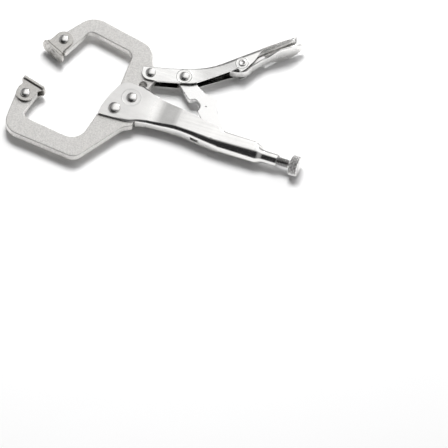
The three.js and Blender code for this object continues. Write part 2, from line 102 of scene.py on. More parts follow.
SCREW_Y = -9.4
SCREW_R = 2.78
SCREW_ROOT = 2.1
SCREW_PITCH = 1.0
SCREW_TIP_X = 62.6
TUBE_R = 5.5
TUBE_END_X = 79.0
NECK_R = 3.7
NECK_BORE = 3.1
NECK_X = 84.0
NECK_END_X = 92.0
KNOB_X = 100.0
KNOB_LENGTH = 5.0
KNOB_R = 5.9
KNURLS = 16
KNURL_DEPTH = 0.6

LARGE_RIVET = (3.5, 2.2)  # head and shank radius
PIVOT_RIVET = (3.1, 2.0)
SMALL_RIVET = (2.9, 1.7)
DOME_HEIGHT = 1.4
SEAT_GAP = 0.12
BORE_GAP = 0.2
LARGE_BORE = LARGE_RIVET[1] + BORE_GAP
PIVOT_BORE = PIVOT_RIVET[1] + BORE_GAP
SMALL_BORE = SMALL_RIVET[1] + BORE_GAP
RELEASE_SHANK_R = 1.6
RELEASE_BORE = RELEASE_SHANK_R + BORE_GAP
RELEASE_SEAT = 5.2  # the lever's half width at the release lever's pivot

PAD_R = 8.0
PAD_HALF = 4.6
PAD_SHEET = 1.5
PAD_REACH = 9.2
UPPER_PAD_TURN = 244.4
LOWER_PAD_TURN = 74.0

WIRE_R = 0.35
COIL_R = 1.45
COIL_TURNS = 16
COIL_STEPS = 20  # points in each turn
COIL_START = (10.6, 6.2)
COIL_END = (36.5, -9.3)
HOOK_EXIT = (6.4, 8.8)  # where the wire leaves the moving jaw

JAW_EDGE = 0.55
SHEET_EDGE = 0.22
WELD = 0.0005  # points closer than this are one
CUTTER_EDGE = 0.001
CUTTER_REACH = 30  # well past both faces of every piece


# ---------- plan outlines ----------
def arc(centre, radius, start, end, steps):
    """Points on an arc from one angle to another, in degrees."""
    points = []
    for i in range(steps + 1):
        turn = math.radians(start + (end - start) * i / steps)
        points.append((centre[0] + radius * math.cos(turn), centre[1] + radius * math.sin(turn)))
    return points


def circle(centre, radius, steps=48):
    return arc(centre, radius, 0, 360, steps)[:-1]


def outline(corners, degrees_per_step=7):
    """A closed outline from corners (x, y) or (x, y, fillet radius)."""
    points = []
    count = len(corners)
    for i, corner in enumerate(corners):
        at = Vector(corner[:2])
        radius = corner[2] if len(corner) > 2 else 0
        back = (Vector(corners[i - 1][:2]) - at).normalized()
        ahead = (Vector(corners[(i + 1) % count][:2]) - at).normalized()
        half = math.acos(max(-1, min(1, back.dot(ahead)))) / 2
        if radius == 0 or half > 1.55:
            points.append(tuple(at))
            continue
        reach = radius / math.tan(half)
        centre = at + (back + ahead).normalized() * (radius / math.sin(half))
        start = at + back * reach - centre
        end = at + ahead * reach - centre
        turn = start.angle_signed(end)
        steps = max(3, round(abs(math.degrees(turn)) / degrees_per_step))
        first = math.atan2(start.y, start.x)
        for k in range(steps + 1):
            angle = first - turn * k / steps
            points.append((centre.x + radius * math.cos(angle), centre.y + radius * math.sin(angle)))
    return points


def turned_to(loop, counterclockwise):
    area = sum(loop[i - 1][0] * loop[i][1] - loop[i][0] * loop[i - 1][1] for i in range(len(loop)))
    return loop if (area > 0) == counterclockwise else loop[::-1]


def inset(loop, distance):
    """The same loop moved to the left of its path."""
    moved = []
    for i, point in enumerate(loop):
        at = Vector(point)
        first = (at - Vector(loop[i - 1])).normalized()
        second = (Vector(loop[(i + 1) % len(loop)]) - at).normalized()
        left = Vector((-first.y - second.y, first.x + second.x)).normalized()
        square = max(0.5, left.dot(Vector((-first.y, first.x))))
        moved.append(tuple(at + left * (distance / square)))
    return moved


# ---------- solids as (points, faces) ----------
def plate(outer, holes, low, high, edge, steps=3):
    """A flat plate with rounded edges between two heights."""
    loops = [turned_to(outer, True)] + [turned_to(hole, False) for hole in holes]
    rows = []
    for i in range(steps + 1):
        turn = math.pi / 2 * i / steps
        rows.append((edge * (1 - math.sin(turn)), edge * (1 - math.cos(turn))))
    levels = [(shift, low + rise) for shift, rise in rows]
    levels += [(shift, high - rise) for shift, rise in reversed(rows)]
    points = []
    faces = []
    bottom = []
    top = []
    for loop in loops:
        start = len(points)
        count = len(loop)
        for shift, z in levels:
            points += [(x, y, z) for x, y in inset(loop, shift)]
        for level in range(len(levels) - 1):
            for i in range(count):
                j = (i + 1) % count
                low_row = start + level * count
                high_row = low_row + count
                faces.append((low_row + i, low_row + j, high_row + j, high_row + i))
        bottom.append(range(start, start + count))
        top.append(range(start + (len(levels) - 1) * count, start + len(levels) * count))
    for rings, upward in ((bottom, False), (top, True)):
        index = [i for ring in rings for i in ring]
        flat = [[Vector((points[i][0], points[i][1], 0)) for i in ring] for ring in rings]
        for triangle in tessellate_polygon(flat):
            face = [index[i] for i in triangle]
            corners = [Vector(points[i]) for i in face]
            rises = (corners[1] - corners[0]).cross(corners[2] - corners[0]).z > 0
            faces.append(tuple(face if rises == upward else face[::-1]))
    return points, faces


def grid(rows, wrap_columns=False):
    """Quads over rows of points."""
    columns = len(rows[0])
    points = [point for row in rows for point in row]
    faces = []
    for i in range(len(rows) - 1):
        for j in range(columns if wrap_columns else columns - 1):
            k = i + 1
            m = (j + 1) % columns
            faces.append((i * columns + j, i * columns + m, k * columns + m, k * columns + j))
    return points, faces


def capped(rows):
    """A solid from rings of points, one face over each end."""
    points, faces = grid(rows, wrap_columns=True)
    sides = len(rows[0])
    faces.append(tuple(range(sides))[::-1])
    faces.append(tuple(range(len(points) - sides, len(points))))
    return points, faces


def merged(*solids):
    points = []
    faces = []
    for more_points, more_faces in solids:
        start = len(points)
        points += more_points
        faces += [tuple(start + i for i in face) for face in more_faces]
    return points, faces


def mapped(solid, place):
    points, faces = solid
    return [place(*point) for point in points], faces


def moved_to(solid, centre):
    """The solid carried from the origin to a point in the plan."""
    return mapped(solid, lambda x, y, z: (centre[0] + x, centre[1] + y, z))


def lathe(profile, sides=48, ring=False):
    """A turned solid about Z from (radius, height) points.

    It is closed at both ends, or as a ring its last point is joined to its first."""
    rows = []
    for radius, height in profile:
        row = []
        for i in range(sides):
            turn = 2 * math.pi * i / sides
            row.append((radius * math.cos(turn), radius * math.sin(turn), height))
        rows.append(row)
    if not ring:
        return capped(rows)
    points, faces = grid(rows, wrap_columns=True)
    last = len(points) - sides
    for i in range(sides):
        j = (i + 1) % sides
        faces.append((i, j, last + j, last + i))
    return points, faces


def on_screw_axis(solid):
    """Z of a turned solid laid along the screw's axis."""
    return mapped(solid, lambda x, y, z: (z, SCREW_Y + x, y))


def prism(loop, low, high):
    """A plain prism over a plan outline."""
    return plate(loop, [], low, high, CUTTER_EDGE, 1)


def box(x0, x1, y0, y1, z0, z1):
    return prism([(x0, y0), (x1, y0), (x1, y1), (x0, y1)], z0, z1)


def mesh_of(solid, name="solid"):
    points, faces = solid
    mesh = bpy.data.meshes.new(name)
    mesh.from_pydata([tuple(point) for point in points], [], faces)
    shape = bmesh.new()
    shape.from_mesh(mesh)
    bmesh.ops.remove_doubles(shape, verts=shape.verts, dist=WELD)
    bmesh.ops.recalc_face_normals(shape, faces=shape.faces)
    shape.to_mesh(mesh)
    shape.free()
    return mesh


def combined(solid, other, operation):
    """The boolean of two solids."""
    objects = []
    for part in (solid, other):
        item = bpy.data.objects.new("solid", mesh_of(part))
        bpy.context.scene.collection.objects.link(item)
        objects.append(item)
    step = objects[0].modifiers.new("boolean", "BOOLEAN")
    step.object = objects[1]
    step.operation = operation
    step.solver = "EXACT"
    evaluated = objects[0].evaluated_get(bpy.context.evaluated_depsgraph_get())
    mesh = evaluated.to_mesh()
    result = ([tuple(v.co) for v in mesh.vertices], [tuple(f.vertices) for f in mesh.polygons])
    evaluated.to_mesh_clear()
    for item in objects:
        data = item.data
        bpy.data.objects.remove(item)
        bpy.data.meshes.remove(data)
    return result


def drilled(solid, holes):
    for centre, radius in holes:
        solid = combined(solid, prism(circle(centre, radius), -CUTTER_REACH, CUTTER_REACH), "DIFFERENCE")
    return solid


def eased(solid, width, sharpest=50, join=0.04):
    """The solid with its sharp edges rounded off."""
    mesh = mesh_of(solid)
    shape = bmesh.new()
    shape.from_mesh(mesh)
    bmesh.ops.remove_doubles(shape, verts=shape.verts, dist=join)
    bmesh.ops.dissolve_degenerate(shape, dist=0.01, edges=shape.edges)
    bmesh.ops.dissolve_limit(
        shape, angle_limit=math.radians(0.6), verts=shape.verts, edges=shape.edges)
    least = math.radians(sharpest)
    sharp = [e for e in shape.edges if len(e.link_faces) == 2 and e.calc_face_angle(0) > least]
    bmesh.ops.bevel(
        shape, geom=sharp, offset=width, offset_type="OFFSET", segments=2, profile=0.5,
        affect="EDGES", clamp_overlap=False, loop_slide=True)
    shape.verts.index_update()
    points = [tuple(v.co) for v in shape.verts]
    faces = [tuple(v.index for v in f.verts) for f in shape.faces]
    shape.free()
    bpy.data.meshes.remove(mesh)
    return points, faces


# ---------- lines in the plan ----------
class PlanLine:
    """A smooth line in the plan through given points, measured by its share of length."""

    def __init__(self, through, samples=24):
        ends = [Vector(point) for point in through]
        ends = [2 * ends[0] - ends[1]] + ends + [2 * ends[-1] - ends[-2]]
        self.points = []
        for i in range(1, len(ends) - 2):
            p = ends[i - 1:i + 3]
            knots = [0.0]
            for k in range(3):
                knots.append(knots[-1] + max(1e-6, (p[k + 1] - p[k]).length) ** 0.5)
            last = i == len(ends) - 3
            for step in range(samples + 1 if last else samples):
                t = knots[1] + (knots[2] - knots[1]) * step / samples
                a = [
                    p[k] * ((knots[k + 1] - t) / (knots[k + 1] - knots[k]))
                    + p[k + 1] * ((t - knots[k]) / (knots[k + 1] - knots[k]))
                    for k in range(3)
                ]
                b = [
                    a[k] * ((knots[k + 2] - t) / (knots[k + 2] - knots[k]))
                    + a[k + 1] * ((t - knots[k]) / (knots[k + 2] - knots[k]))
                    for k in range(2)
                ]
                self.points.append(
                    b[0] * ((knots[2] - t) / (knots[2] - knots[1]))
                    + b[1] * ((t - knots[1]) / (knots[2] - knots[1])))
        self.lengths = [0.0]
        for i in range(1, len(self.points)):
            self.lengths.append(self.lengths[-1] + (self.points[i] - self.points[i - 1]).length)

    def at(self, share):
        wanted = max(0.0, min(1.0, share)) * self.lengths[-1]
        i = 1
        while i < len(self.lengths) - 1 and self.lengths[i] < wanted:
            i += 1
        part = (wanted - self.lengths[i - 1]) / (self.lengths[i] - self.lengths[i - 1])
        return self.points[i - 1].lerp(self.points[i], part)

    def below(self, share, distance, z):
        """A point below the line, measured square to it."""
        ahead = (self.at(share + 0.004) - self.at(share - 0.004)).normalized()
        at = self.at(share)
        return (at.x + ahead.y * distance, at.y - ahead.x * distance, z)


def between(stations, position):
    """Values between stations (position, *values), eased into each station."""
    if position <= stations[0][0]:
        return stations[0][1:]
    if position >= stations[-1][0]:
        return stations[-1][1:]
    i = next(k for k, station in enumerate(stations) if station[0] > position) - 1
    here = stations[i]
    there = stations[i + 1]
    before = stations[max(0, i - 1)]
    after = stations[min(len(stations) - 1, i + 2)]
    span = there[0] - here[0]
    share = (position - here[0]) / span
    values = []
    for k in range(1, len(here)):
        slopes = []
        for left, middle, right in ((before, here, there), (here, there, after)):
            first = (middle[k] - left[k]) / max(1e-6, middle[0] - left[0])
            second = (right[k] - middle[k]) / max(1e-6, right[0] - middle[0])
            slopes.append(0 if first * second <= 0 else 2 * first * second / (first + second) * span)
        rise = there[k] - here[k]
        values.append(
            here[k] + slopes[0] * share
            + (3 * rise - 2 * slopes[0] - slopes[1]) * share ** 2
            + (slopes[0] + slopes[1] - 2 * rise) * share ** 3)
    return values


# ---------- bent sheet channels ----------
# Shares of the developed half width where the floor, the rounded corner and the wall end.
FLOOR_END = 0.2
CORNER_END = 0.6
WALL_END = 0.8
CORNER_SPAN = 0.4
WALL_SPAN = 0.2
LIP_SPAN = 0.2
LIP_R = 2
SIDE_STEPS = [0, FLOOR_END]
SIDE_STEPS += [FLOOR_END + CORNER_SPAN * k / 8 for k in range(1, 9)]
SIDE_STEPS += [0.7, WALL_END, 0.84, 0.88, 0.92, 0.96, 1]


def section_point(side, depth, form):
    """A point of a channel's section: height above the outer floor, and z.

    side runs from -1 to 1 across the developed sheet, depth from 0 inside to 1 outside."""
    share = abs(side)
    rise = (1 - depth) * SHEET
    flat = form["half"] - form["corner"]
    top = form["wall"] - LIP_R
    if share <= FLOOR_END:
        height = rise
        across = flat * share / FLOOR_END
    elif share <= CORNER_END:
        turn = (share - FLOOR_END) / CORNER_SPAN * math.pi / 2
        height = form["corner"] - (form["corner"] - rise) * math.cos(turn)
        across = flat + (form["corner"] - rise) * math.sin(turn)
    elif share <= WALL_END:
        height = form["corner"] + (top - form["corner"]) * (share - CORNER_END) / WALL_SPAN
        across = form["half"] - rise
    else:
        turn = (share - WALL_END) / LIP_SPAN * form["lip_turn"]
        radius = LIP_R - rise
        height = top + radius * math.sin(turn) + (share - WALL_END) / LIP_SPAN * form["straight"]
        across = form["half"] - LIP_R + radius * math.cos(turn)
    return height, math.copysign(across, side)


def channel(start, end, steps, form_at, place):
    """A bent sheet channel along its length, closed all round."""
    sides = [-side for side in SIDE_STEPS[:0:-1]] + SIDE_STEPS
    rows = []
    for i in range(steps + 1):
        position = start + (end - start) * i / steps
        form = form_at(position)
        ring = [place(position, *section_point(side, 1, form)) for side in sides]
        ring += [place(position, *section_point(side, 0, form)) for side in reversed(sides)]
        rows.append(ring)
    points, faces = grid(rows, wrap_columns=True)
    width = 2 * len(sides)
    for base in (0, steps * width):
        for i in range(len(sides) - 1):
            faces.append((base + i, base + i + 1, base + width - 2 - i, base + width - 1 - i))
    return points, faces


# ---------- jaws ----------
def fixed_jaw():
    """The fixed jaw's bar, from its pad's rivet round to the fork of the handle."""
    hub_room = arc(JAW_PIVOT, HUB_ROOM_R, -98.7, -160, 12)
    arm = outline([
        (-63.8, -11.4, 2.5),
        (-63.3, -43.6, 10),
        (-17.2, -48.7, 7),
        (1.4, -20, 8),
        (6.3, -17.1),
        (6.3, -11.5, 1),
        *hub_room,
        (-12.2, -3, 1),
        (-15.2, -16, 12),
        (-19.2, -37.3, 9),
        (-55.9, -32, 4.5),
        (-51.6, -13.6, 1.8),
    ])
    holes = [
        circle(JAW_FIXING, LARGE_BORE),
        circle(LOWER_PAD_PIVOT, SMALL_BORE),
    ]
    return plate(arm, holes, -JAW_HALF, JAW_HALF, JAW_EDGE, 4)


def moving_jaw():
    """The moving jaw's bar, from its pad's rivet round to the hub on the jaw pivot."""
    hub = arc(JAW_PIVOT, HUB_R, 42.5, -187.7, 40)
    arm = outline([
        (-56.7, 20.9, 2),
        (-39.7, 45.3, 12),
        (-0.6, 36.8, 10),
        (3.4, 25.6, 4),
        (9.2, 22.4, 3.5),
        (8.4, 16, 4),
        (6.6, 9.2, 2),
        *hub,
        (-9.5, 8, 6),
        (-9.5, 29.1, 5),
        (-37.9, 35, 4),
        (-46.3, 15.7, 1.6),
    ])
    holes = [
        circle(JAW_PIVOT, PIVOT_BORE),
        circle(LEVER_PIVOT, SMALL_BORE),
        circle(UPPER_PAD_PIVOT, SMALL_BORE),
        circle(SPRING_HOLE, SPRING_HOLE_R),
    ]
    return plate(arm, holes, -JAW_HALF, JAW_HALF, JAW_EDGE, 4)


# ---------- fixed handle ----------
HANDLE_START_X = -16
HANDLE_STEPS = 100
FORK_END_X = 6.8
NECK_FLARE = 5.2
# Stations along X: x, floor y, half width, corner radius, top y, lip turn, straight lip.
HANDLE_STATIONS = [
    (HANDLE_START_X, -18, EAR_OUT, 1.6, 12, 0, 2),
    (3, -15.8, EAR_OUT, 1.6, 12, 0, 2),
    (8, -14, EAR_OUT, 1.7, 12, 0, 2),
    (15, -12.8, EAR_OUT, 2, 5.2, 0, 2),
    (31, -12.05, 4.85, 2.7, 1.8, 0, 2),
    (38, -12.6, 5.15, 3, 0.4, 0, 2),
    (46, -13.7, 5.4, 3.4, -1.3, 0, 2),
    (54, -14.6, TUBE_R, 4.2, -2.9, 0.1, 1.8),
    (59, -14.9, TUBE_R, 4.8, -3.6, 1.1, 0),
    (TUBE_END_X - 2, -14.9, TUBE_R, 5.4, -3.75, 1.25, 0),
    (TUBE_END_X + 3, -13.7, 4.3, 4.25, -4.9, 1.4, 0),
]


def handle_form(x):
    """The handle's section at a place along X."""
    floor, half, corner, top, lip_turn, straight = between(HANDLE_STATIONS, x)
    return {
        "floor": floor,
        "half": half,
        "corner": corner,
        "wall": top - floor,
        "lip_turn": lip_turn,
        "straight": straight,
    }


def neck():
    """The round end of the handle: a flare down from the channel, and the screw's bore."""
    flare_steps = 12
    outside = [(TUBE_R - 0.02, TUBE_END_X - 1.2), (TUBE_R - 0.01, TUBE_END_X)]
    for i in range(1, flare_steps + 1):
        share = i / flare_steps
        ease = share * share * (3 - 2 * share)
        outside.append((TUBE_R + (NECK_R - TUBE_R) * ease, TUBE_END_X + NECK_FLARE * share))
    return on_screw_axis(lathe([
        *outside,
        (NECK_R, NECK_END_X - 0.3),
        (NECK_R - 0.1, NECK_END_X - 0.08),
        (NECK_R - 0.25, NECK_END_X),
        (NECK_BORE + 0.1, NECK_END_X),
        (NECK_BORE, NECK_END_X - 0.15),
        (NECK_BORE, NECK_X - 1),
        (TUBE_R - SHEET, NECK_X - 3.4),
        (TUBE_R - SHEET, TUBE_END_X - 1.2),
    ], ring=True))


def fixed_handle():
    """The folded channel with its fork for the jaws, the spring's slot and tab, and the neck."""
    sheet = channel(
        HANDLE_START_X, TUBE_END_X + 2.6, HANDLE_STEPS, handle_form,
        lambda x, height, z: (x, handle_form(x)["floor"] + height, z))
    side = outline([
        (-14.9, -16.5, 0.8),
        (3, -16, 3),
        (8, -14.4),
        (12, -20),
        (99, -20),
        (99, 6),
        (12, 6),
        (3.4, 8.7, 6),
        (-7.9, 9.2, 6.5),
        (-12.5, -2, 12),
        (-14.6, -11, 12),
    ])
    fork = box(-20, FORK_END_X, -30, 30, -EAR_IN, EAR_IN)
    slot = box(40.2, 44.8, -20, -11, -0.8, 2)
    tab = box(44.3, 45.3, -13.4, -10.4, -0.8, 0.8)
    sheet = combined(sheet, prism(side, -20, 20), "INTERSECT")
    sheet = combined(sheet, fork, "DIFFERENCE")
    sheet = combined(sheet, slot, "DIFFERENCE")
    sheet = drilled(sheet, [(JAW_FIXING, LARGE_BORE), (JAW_PIVOT, PIVOT_BORE)])
    return merged(eased(sheet, SHEET_EDGE), eased(tab, 0.12), neck())


# ---------- adjusting screw ----------
TIP_R = 1.6
CREST_SHARE = 0.14
FLANK_SHARE = 0.72


def adjusting_screw():
    """The threaded shank: a radius that climbs one pitch in each turn."""
    sides = 40
    step = SCREW_PITCH / 10
    end = KNOB_X - GAP
    count = round((end - SCREW_TIP_X) / step)
    rows = []
    for i in range(count + 1):
        x = SCREW_TIP_X + (end - SCREW_TIP_X) * i / count
        pointed = TIP_R + (x - SCREW_TIP_X) * 1.1
        run_out = SCREW_ROOT + max(0, (end - 0.4 - x) * 0.6)
        row = []
        for k in range(sides):
            phase = (x / SCREW_PITCH - k / sides) % 1
            flank = max(0, min(1, (abs(phase - 0.5) * 2 - CREST_SHARE) / FLANK_SHARE))
            radius = min(SCREW_R + (SCREW_ROOT - SCREW_R) * flank, pointed, run_out)
            turn = 2 * math.pi * k / sides
            row.append((radius * math.cos(turn), radius * math.sin(turn), x))
        rows.append(row)
    return on_screw_axis(capped(rows))


def knurl_depth(share, x, radius):
    """How deep the crossing grooves are at a share of a turn, fading out over the knob's edges."""
    slant = 0.42
    half_width = 0.34
    depth = 0
    for way in (-1, 1):
        phase = (share * KNURLS + way * x * slant) % 1
        depth = max(depth, 1 - abs(phase - 0.5) / half_width)
    return KNURL_DEPTH * depth * max(0, min(1, (radius - KNOB_R + 0.62) / 0.4))


def screw_knob():
    """The knurled knob, with two crossing sets of grooves round it."""
    sides = KNURLS * 12
    band_steps = 22
    profile = [(1.8, 0), (KNOB_R - 0.9, 0), (KNOB_R - 0.6, 0.04), (KNOB_R - 0.2, 0.3)]
    profile += [(KNOB_R, 0.5 + (KNOB_LENGTH - 1) * k / band_steps) for k in range(band_steps + 1)]
    profile += [
        (KNOB_R - 0.25, KNOB_LENGTH - 0.25),
        (KNOB_R - 0.7, KNOB_LENGTH - 0.02),
        (KNOB_R - 1.1, KNOB_LENGTH),
        (2.2, KNOB_LENGTH),
        (1.7, KNOB_LENGTH - 0.25),
        (0.8, KNOB_LENGTH - 0.3),
    ]
    rows = []
    for radius, x in profile:
        row = []
        for i in range(sides):
            share = i / sides
            turn = 2 * math.pi * share
            reach = radius - knurl_depth(share, x, radius)
            row.append((reach * math.cos(turn), reach * math.sin(turn), KNOB_X + x))
        rows.append(row)
    return on_screw_axis(capped(rows))


# ---------- toggle link ----------
def toggle_link():
    """The flat link from the lever down to the tip of the screw."""
    shape = outline([
        (19.6, 20.6, 4),
        (20.6, 28, 4),
        (27.6, 26.6, 4),
        (33.4, 20.6, 4),
        (38.5, 18, 5),
        (46.6, 16.6, 3.5),
        (48.6, 8.2, 9),
        (LINK_FOOT[0] + 2.6, LINK_FOOT[1] + 3.4, 2.5),
        (LINK_FOOT[0] + 2.2, LINK_FOOT[1] - 3.2, 2.8),
        (LINK_FOOT[0] - 4.6, LINK_FOOT[1] - 2.4, 3),
        (38, 4.9, 2.5),
        (38.8, 9.6, 3),
        (34, 12.6, 2),
        (31, 10.6, 0.8),
    ])
    solid = plate(shape, [circle(LINK_PIVOT, SMALL_BORE)], -LINK_HALF, LINK_HALF, 0.3)
    dimple = lathe([(0.2, LINK_HALF - 0.35), (0.6, LINK_HALF + 0.05), (0.6, LINK_HALF + 1)], 24)
    return combined(solid, moved_to(dimple, (41.5, 9.7)), "DIFFERENCE")


# ---------- lever ----------
LEVER_LINE = PlanLine([
    (-6, 22.4), (4.4, 24.4), (24, 30.2), (35.5, 36), (48, 47.5), (60, 59.4), (73.3, 71.7)])
LEVER_STEPS = 72
# Stations along the line: share of its length, half width, corner radius, wall height.
LEVER_STATIONS = [
    (0, EAR_OUT, 1.6, 16),
    (0.34, EAR_OUT, 1.8, 16),
    (0.5, 4.4, 2.8, 16),
    (0.62, 5.2, 3.6, 16),
    (0.86, 5.2, 4.2, 12),
    (1, 4.4, 4, 9),
]


def lever_form(share):
    """The lever's section at a share of its length."""
    half, corner, wall = between(LEVER_STATIONS, share)
    return {"half": half, "corner": corner, "wall": wall, "lip_turn": 0, "straight": 2}


def lever():
    """The lever's folded channel, cut along its length to the outline of its sides."""
    sheet = channel(0, 1, LEVER_STEPS, lever_form, LEVER_LINE.below)
    side = outline([
        (-1.4, 25.4, 5),
        (-0.2, 14.2, 5),
        (9.5, 15.3, 3),
        (29.6, 20.6, 14),
        (41.2, 30.6, 16),
        (50.2, 38.2),
        (52.4, 36.9, 0.8),
        (54.8, 39.6),
        (57.6, 46.4, 5),
        (59.6, 54.6, 2),
        (66, 61.2, 3),
        (70.4, 66.2, 2),
        (73.2, 67.2, 2.5),
        (75, 71.2, 2.5),
        (70, 78),
        (40, 60),
        (4, 36),
    ])
    head_room = prism(circle(LEVER_PIVOT, HEAD_ROOM_R, 72), -EAR_IN, EAR_IN)
    sheet = combined(sheet, prism(side, -20, 20), "INTERSECT")
    sheet = combined(sheet, head_room, "DIFFERENCE")
    sheet = drilled(sheet, [
        (LEVER_PIVOT, SMALL_BORE),
        (LINK_PIVOT, SMALL_BORE),
        (RELEASE_PIVOT, RELEASE_BORE),
    ])
    return eased(sheet, SHEET_EDGE)


# ---------- release lever ----------
RELEASE_HALF = 2.9
BLADE_HALF = 6
BLADE_SHEET = 1.2
RELEASE_LINE = PlanLine([
    (46.4, 36.2), (51, 37), (55.4, 39.4), (58.8, 45.4), (63, 51), (69, 56.8), (74, 61), (79.9, 67.7)])


def blade_half(share):
    """The half width of the release lever's sheet: a stem that spreads into a leaf."""
    if share < 0.5:
        return RELEASE_HALF
    if share < 0.7:
        spread = (share - 0.5) / 0.2
        return RELEASE_HALF + (BLADE_HALF - RELEASE_HALF) * spread * spread * (3 - 2 * spread)
    return BLADE_HALF * math.sqrt(max(0.03, 1 - min(1, (share - 0.7) / 0.3) ** 2.6))


def rim_rounding(side):
    """How far each face of the blade draws in near its edge."""
    return 0.35 * BLADE_SHEET * max(0, abs(side) - 0.9) / 0.1


def release_lever():
    """The release lever: a curved blade, and a cheek with a rivet hole on each side of its stem."""
    sides = [-1, -0.98, -0.92, -0.8, -0.5, 0, 0.5, 0.8, 0.92, 0.98, 1]
    steps = 90
    rows = []
    for i in range(steps + 1):
        share = 1 - (1 - i / steps) ** 1.35  # closer together towards the tip
        half = blade_half(share)
        row = []
        for side in sides:
            row.append(RELEASE_LINE.below(share, rim_rounding(side) - BLADE_SHEET, side * half))
        for side in reversed(sides):
            row.append(RELEASE_LINE.below(share, -rim_rounding(side), side * half))
        rows.append(row)
    cheek = outline([
        (46.6, 36.4),
        (51, 37.2),
        (55.2, 39.6),
        (58.6, 45.6),
        (62.6, 50.8),
        (61.4, 53, 1),
        (55.6, 46.6, 3),
        (50.6, 46.4, 3),
        (47.2, 40, 1),
    ])
    hole = [circle(RELEASE_PIVOT, RELEASE_BORE)]
    return merged(
        capped(rows),
        plate(cheek, hole, RELEASE_HALF - 1, RELEASE_HALF, 0.2),
        plate(cheek, hole, -RELEASE_HALF, 1 - RELEASE_HALF, 0.2))


# ---------- rivets ----------
def two_headed(upper, centre):
    """A turned rivet from the profile of its upper half, mirrored below."""
    lower = [(radius, -height) for radius, height in reversed(upper)]
    return moved_to(lathe(lower + upper), centre)


def rivet(size, centre):
    """A rivet with a domed head over each outer sheet."""
    head, shank = size
    seat = EAR_OUT + SEAT_GAP
    upper = [(shank, seat), (head - 0.12, seat), (head, seat + 0.1)]
    for i in range(9):
        turn = i / 8 * math.pi / 2 * 0.985
        upper.append((head * math.cos(turn), seat + 0.3 + (DOME_HEIGHT - 0.3) * math.sin(turn)))
    return two_headed(upper, centre)


def dished_rivet(outer, centre):
    """A rivet with a flat head at each end, rolled at its edge and dished in the middle."""
    seat = outer + SEAT_GAP
    upper = [
        (RELEASE_SHANK_R, seat),
        (2.1, seat),
        (2.2, seat + 0.12),
        (2.12, seat + 0.34),
        (1.8, seat + 0.5),
        (1.45, seat + 0.5),
        (1.15, seat + 0.38),
        (0.9, seat + 0.24),
        (0.4, seat + 0.2),
    ]
    return two_headed(upper, centre)


# ---------- swivel pads ----------
# The clamping face from its middle outwards, with two shallow ring grooves: radius, height.
PAD_FACE = [
    (0.8, 0),
    (2.1, 0),
    (2.35, -0.28),
    (2.9, -0.28),
    (3.15, 0),
    (5.2, 0),
    (5.45, -0.24),
    (5.9, -0.24),
    (6.15, 0),
    (PAD_R - 0.3, 0),
    (PAD_R - 0.08, -0.1),
    (PAD_R, -0.32),
]


def pad(centre, degrees):
    """A pad about its rivet: a round plate cut straight across, and an ear on each side."""
    inner = PAD_REACH - PAD_SHEET
    rim = [(radius, PAD_REACH + drop) for radius, drop in reversed(PAD_FACE)]
    round_plate = lathe([(6, inner), (PAD_R - 0.25, inner), (PAD_R, inner + 0.25)] + rim, 72)
    slab = combined(round_plate, box(-20, 20, -PAD_HALF, PAD_HALF, 0, 30), "INTERSECT")
    slab = mapped(slab, lambda x, y, z: (z, x, y))
    ear = outline([
        (inner + 0.4, -7.2),
        (inner + 0.4, 7.2),
        (5.4, 5.2, 2),
        (-5.2, 5.4, 5),
        (-5.2, -5.4, 5),
        (5.4, -5.2, 2),
    ])
    near = plate(ear, [circle((0, 0), SMALL_BORE)], EAR_IN, EAR_OUT, 0.24)
    groove = box(inner - 0.75, inner - 0.05, -9, 9, EAR_IN + 0.45, EAR_OUT + 1)
    near = combined(near, groove, "DIFFERENCE")
    far = mapped(near, lambda x, y, z: (x, y, -z))
    whole = merged(eased(slab, 0.2, 55), near, far)
    turn = math.radians(degrees)
    turned = mapped(whole, lambda x, y, z: (
        x * math.cos(turn) - y * math.sin(turn),
        x * math.sin(turn) + y * math.cos(turn),
        z))
    return moved_to(turned, centre)


# ---------- return spring ----------
def smooth_path(points, steps):
    """Points along a uniform spline through the given ones."""
    ends = [2 * points[0] - points[1]] + points + [2 * points[-1] - points[-2]]
    path = []
    for i in range(1, len(ends) - 2):
        p0, p1, p2, p3 = ends[i - 1:i + 3]
        for k in range(steps):
            t = k / steps
            path.append(0.5 * (
                2 * p1 + (p2 - p0) * t + (2 * p0 - 5 * p1 + 4 * p2 - p3) * t ** 2
                + (3 * p1 - p0 - 3 * p2 + p3) * t ** 3))
    return path + [points[-1]]


def wire(path, sides=10):
    """A round wire along a path."""
    rows = []
    across = Vector((0, 0, 1))
    for i, at in enumerate(path):
        ahead = (path[min(i + 1, len(path) - 1)] - path[max(i - 1, 0)]).normalized()
        across = (across - ahead * across.dot(ahead)).normalized()
        other = ahead.cross(across)
        row = []
        for k in range(sides):
            turn = 2 * math.pi * k / sides
            row.append(tuple(at + across * WIRE_R * math.cos(turn) + other * WIRE_R * math.sin(turn)))
        rows.append(row)
    return capped(rows)


